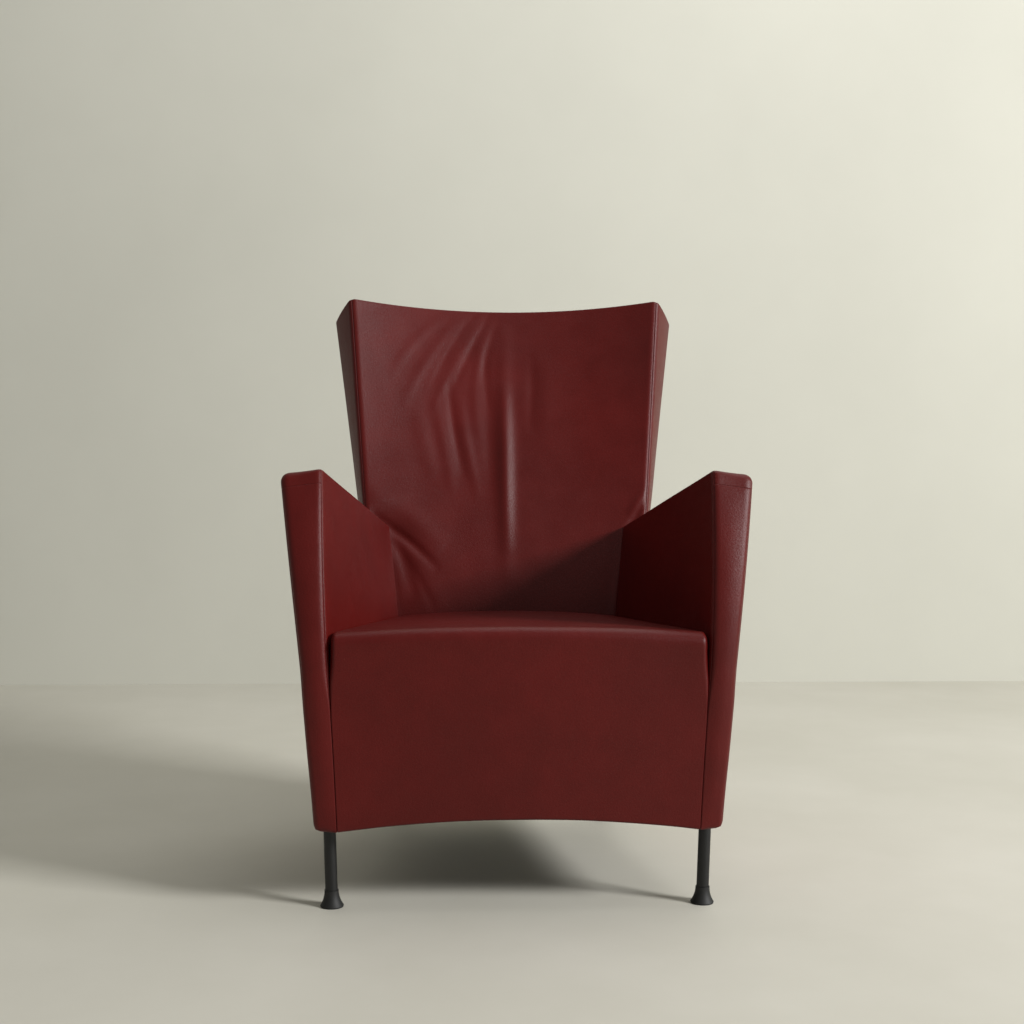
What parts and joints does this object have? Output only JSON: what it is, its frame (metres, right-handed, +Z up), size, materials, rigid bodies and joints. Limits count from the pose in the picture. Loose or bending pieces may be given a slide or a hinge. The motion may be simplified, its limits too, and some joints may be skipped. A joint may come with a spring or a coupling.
{
  "type": "high-back lounge armchair",
  "caption": "High-back leather armchair with flared arms, a waisted winged backrest, a fixed seat and slim tube legs on trumpet feet.",
  "frame": {"origin": "on the floor under the middle of the chair's outline", "axes": "+Z up, the sitter faces -Y, +X to the right as the chair is seen from its front"},
  "size_m": [0.7722, 0.7873, 1.0465],
  "materials": {
    "leather": "semi-aniline leather, oxblood red, soft sheen",
    "foam": "moulded polyurethane foam",
    "plywood": "raw birch plywood",
    "beech": "raw beech",
    "zinc_steel": "zinc plated",
    "webbing": "woven elastic",
    "lining": "black non-woven",
    "black_steel": "satin black powder coat",
    "black_rubber": "matt black"
  },
  "bodies": {
    "root": {"arm_bolts": "zinc_steel", "arm_sleeves": "zinc_steel", "back_board": "plywood", "back_bolts": "zinc_steel", "back_crest_gusset": "leather", "back_crest_rail": "beech", "back_foam": "foam", "back_inner_cover": "leather", "back_lumbar_rail": "beech", "back_outer_cover": "leather", "back_sleeves": "zinc_steel", "back_straps": "webbing", "back_underside_cover": "lining", "corner_blocks": "beech", "dust_cover": "lining", "front_rail": "plywood", "left_arm_board": "plywood", "left_arm_cap_cover": "leather", "left_arm_foam": "foam", "left_arm_inner_cover": "leather", "left_arm_outer_cover": "leather", "left_arm_rail": "beech", "left_back_gusset": "leather", "left_back_post": "plywood", "left_front_foot": "black_rubber", "left_front_leg": "black_steel", "left_rear_foot": "black_rubber", "left_rear_leg": "black_steel", "left_side_rail": "plywood", "leg_inserts": "zinc_steel", "leg_studs": "zinc_steel", "rear_rail": "plywood", "right_arm_board": "plywood", "right_arm_cap_cover": "leather", "right_arm_foam": "foam", "right_arm_inner_cover": "leather", "right_arm_outer_cover": "leather", "right_arm_rail": "beech", "right_back_gusset": "leather", "right_back_post": "plywood", "right_front_foot": "black_rubber", "right_front_leg": "black_steel", "right_rear_foot": "black_rubber", "right_rear_leg": "black_steel", "right_side_rail": "plywood", "seat_cover": "leather", "seat_foam": "foam", "seat_springs": "zinc_steel", "spring_clips": "zinc_steel"}
  },
  "joints": []
}
